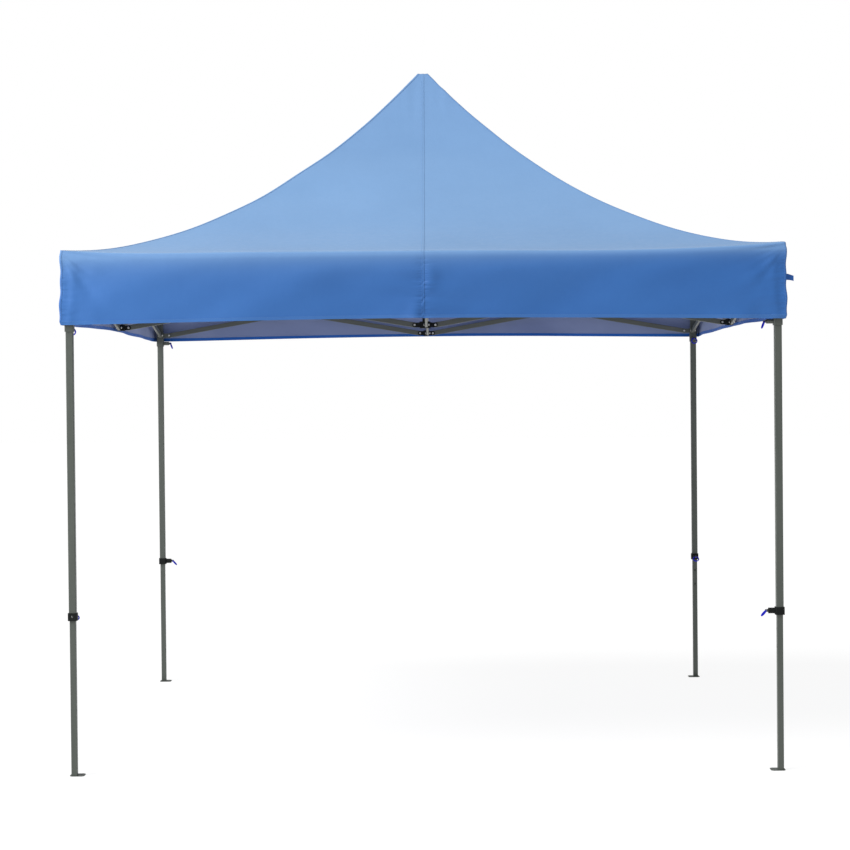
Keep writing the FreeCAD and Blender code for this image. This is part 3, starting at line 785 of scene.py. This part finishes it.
def stitches():
    """Each stitch is a small bowed thread: two ends in the cloth and a raised middle."""
    blocks, faces, start = [], [], 0
    for side, s0, v0, s1, v1 in stitch_rows():
        ends = [patch_values(side, s, v, STITCH_LIFT) for s, v in ((s0, v0), (s1, v1))]
        crown = patch_values(side, (s0 + s1) / 2, (v0 + v1) / 2, CROWN_LIFT)
        stations = np.stack([ends[0], crown, ends[1]], 1)
        places = stations[..., :3]
        wide = np.cross(places[:, 2] - places[:, 0], places[:, 1] - (places[:, 0] + places[:, 2]) / 2)
        wide *= STITCH_WIDTH / 2 / np.linalg.norm(wide, axis=-1, keepdims=True)
        pairs = np.repeat(stations, 2, 1)
        pairs[:, 0::2, :3] -= wide[:, None]
        pairs[:, 1::2, :3] += wide[:, None]
        blocks.append(pairs.reshape(-1, pairs.shape[-1]))
        for a in range(start, start + 6 * len(s0), 6):
            faces += [(a, a + 1, a + 3, a + 2), (a + 2, a + 3, a + 5, a + 4)]
        start += 6 * len(s0)
    return sewn_mesh("stitches", np.concatenate(blocks), faces, [thread], thickness=0.0006)


def webbing_tab(side, s0, z):
    """A loop of webbing folded flat, sewn beside a corner, that stands out from the valance."""
    at = cloth_rest(np.array([s0, s0]), np.array([2.0, 3.0]))[:, 2]
    v0 = np.array([2 + (at[0] - z) / (at[0] - at[1])])
    root = cloth_points(np.array([s0]), v0, side)[0][0]
    angle = side * math.pi / 2
    along = np.array([math.cos(angle), math.sin(angle), 0])
    out = np.array([math.sin(angle), -math.cos(angle), 0])
    reach, gap, wide = 0.034, 0.0016, 0.024
    path = [(reach * n / 10, -gap / 2) for n in range(10)]
    path += [(reach + gap / 2 * math.sin(a), -gap / 2 * math.cos(a)) for a in np.linspace(0, math.pi, 7)]
    path += [(reach * n / 10, gap / 2) for n in range(9, -1, -1)]
    points, across = [], np.linspace(-wide / 2, wide / 2, 7)
    for far, beside in path:
        bend = 0.004 * math.sin(3 * far / reach)
        for height in across:
            sag = -0.007 * (far / reach) ** 2 + 0.0012 * math.sin(90 * far + 150 * height)
            raised = np.array([0, 0, height + sag])
            points.append(root + out * (far - 0.0005) + along * (beside + bend) + raised)
    faces = quads(len(path), len(across))
    obj = new_mesh(f"{SIDES[side]}_webbing_tab", np.array(points), faces, [webbing])
    pulls = fold_weights(np.array([s0]), v0, side)
    follow_fold(obj, {body: np.repeat(pulls[body], len(points)) for body in PULL_BODIES})
    add_uv(obj.data, "cloth", np.array([(far, height) for far, _ in path for height in across]))
    thick = obj.modifiers.new("webbing_thickness", "SOLIDIFY")
    thick.thickness = 0.0011
    return obj


TAB_S, TAB_Z = -0.985, 2.05  # where the webbing tabs are sewn on, near a corner
sewn = [centre_tapes(), hip_tapes(), hem(), stitches()]
sewn += [webbing_tab(1, TAB_S, TAB_Z), webbing_tab(3, TAB_S, TAB_Z)]


# ---------------------------------------------------------------- frame


COLLAR_FACE = 0.019  # from the leg's middle


def pin_end(corner, k):
    """The domed end of the locking pin's bush, on the collar's face across from the pin."""
    low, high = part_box(f"{corner}_leg_collar")
    angle = k * math.pi / 2
    out = Vector((math.sin(angle), -math.cos(angle), 0))
    aside = Vector((math.cos(angle), math.sin(angle), 0))
    leg = Vector((HALF_LEG * (1 if k in (1, 2) else -1), HALF_LEG * (1 if k in (2, 3) else -1), 0))
    centre = leg + out * COLLAR_FACE + Vector((0, 0, (low.z + high.z) / 2 + 0.001))
    rings, count = [(0.0042, -0.0004), (0.0042, 0.0007), (0.0036, 0.0012), (0.0021, 0.0015)], 24
    points = []
    for radius, rise in rings:
        for n in range(count):
            turn = 2 * math.pi * n / count
            ray = aside * math.cos(turn) + Vector((0, 0, 1)) * math.sin(turn)
            points.append(centre + ray * radius + out * rise)
    faces = []
    for first in range(0, (len(rings) - 1) * count, count):
        for n in range(count):
            after = (n + 1) % count
            faces.append((first + n, first + after, first + count + after, first + count + n))
    faces.append(tuple(range((len(rings) - 1) * count, len(rings) * count)))
    obj = new_mesh(f"{corner}_pin_end", np.array([list(p) for p in points]), faces, [dark_zinc])
    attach(obj, f"{corner}_outer_leg")


for number, corner_name in enumerate(CORNERS):
    pin_end(corner_name, number)


SMALL = 0.035  # a solid within a box of this size is a plug, a bolt or a nut
RING_TALL, CAP_TALL = 0.02, 0.1  # a pin's ring is taller than this, and the pole's cap lower


def all_first(low, high):
    return 0


def small_second(low, high):
    return 1 if float((high - low).max()) < SMALL else 0


def ring_second(low, high):
    return 1 if (high - low)[2] > RING_TALL else 0


def cap_second(low, high):
    return 1 if (high - low)[2] < CAP_TALL else 0


def dress_frame():
    for side in SIDES:
        for name in frame["nodes"]:
            if name.startswith(side + "_") and "bar" in name:
                dress(name, small_second, [bar_paint, black_plastic])
        for name in (f"{side}_upper_bracket", f"{side}_lower_bracket"):
            dress(name, small_second, [black_plastic, zinc])
    for corner in CORNERS:
        dress(f"{corner}_outer_leg", small_second, [upright_paint, zinc])
        dress(f"{corner}_inner_leg", all_first, [upright_paint])
        dress(f"{corner}_slider", small_second, [upright_paint, zinc])
        dress(f"{corner}_leg_collar", all_first, [black_plastic])
        for pin in (f"{corner}_leg_pin", f"{corner}_slider_pin"):
            dress(pin, ring_second, [dark_zinc, blue_coat])
    for name in ("center_upper_hub", "center_lower_hub"):
        dress(name, small_second, [black_plastic, zinc])
    dress("peak_pole", cap_second, [upright_paint, black_plastic])


dress_frame()


# ---------------------------------------------------------------- studio


def make_floor():
    """A plain, pale floor without edges in sight."""
    size = 60.0
    mesh = bpy.data.meshes.new("studio_floor")
    corners = [(-size, -size, 0), (size, -size, 0), (size, size, 0), (-size, size, 0)]
    mesh.from_pydata(corners, [], [(0, 1, 2, 3)])
    floor = bpy.data.objects.new("studio_floor", mesh)
    bpy.context.scene.collection.objects.link(floor)
    shader = Shader("floor")
    shader.set(Base_Color=(0.14, 0.14, 0.14, 1), Roughness=1.0, Specular_IOR_Level=0.0)
    shader.set(Emission_Color=(1, 1, 1, 1), Emission_Strength=0.88)
    mesh.materials.append(shader.material)


def aim(light, place, target):
    light.location = place
    light.rotation_euler = (Vector(target) - Vector(place)).to_track_quat("-Z", "Y").to_euler()
    bpy.context.scene.collection.objects.link(light)


def make_light():
    """A white room, a broad sun from the upper left and a soft box beside the left end."""
    world = bpy.data.worlds.new("studio")
    world.use_nodes = True
    tree = world.node_tree
    background = tree.nodes["Background"]
    background.inputs["Color"].default_value = (1, 1, 1, 1)
    path = tree.nodes.new("ShaderNodeLightPath")
    seen = tree.nodes.new("ShaderNodeMapRange")
    seen.inputs["To Min"].default_value = 0.43
    seen.inputs["To Max"].default_value = 1.0
    tree.links.new(path.outputs["Is Camera Ray"], seen.inputs["Value"])
    tree.links.new(seen.outputs["Result"], background.inputs["Strength"])
    bpy.context.scene.world = world
    sun = bpy.data.lights.new("sun", "SUN")
    sun.energy = 2.6
    sun.angle = math.radians(28)
    aim(bpy.data.objects.new("sun", sun), (-5.5, -4.0, 8.0), (0, 0, 0))
    box = bpy.data.lights.new("soft_box", "AREA")
    box.size = 2.5
    box.energy = 195
    soft_box = bpy.data.objects.new("soft_box", box)
    soft_box.visible_camera = False
    aim(soft_box, (-5.0, -3.6, 3.2), (-1.2, -1.5, 1.8))
    bpy.context.scene.view_settings.view_transform = "Standard"


CAMERA_PLACE = (0.052, -10.394, 1.589)
CAMERA_TURN = (-0.313, -0.898, -0.537)  # yaw, pitch and roll, in degrees
SENSOR, LENS = 36.0, 90.99  # mm


def make_camera():
    """The photograph's viewing angle: eye height, level to within a degree, and almost straight on."""
    data = bpy.data.cameras.new("camera")
    data.sensor_width, data.lens = SENSOR, LENS
    data.clip_end = 200
    camera = bpy.data.objects.new("camera", data)
    yaw, pitch, roll = (math.radians(a) for a in CAMERA_TURN)
    facing = Matrix.Rotation(-yaw, 4, "Z") @ Matrix.Rotation(math.pi / 2 + pitch, 4, "X")
    camera.matrix_world = Matrix.Translation(CAMERA_PLACE) @ facing @ Matrix.Rotation(roll, 4, "Z")
    bpy.context.scene.collection.objects.link(camera)
    bpy.context.scene.camera = camera


make_floor()
make_light()
make_camera()
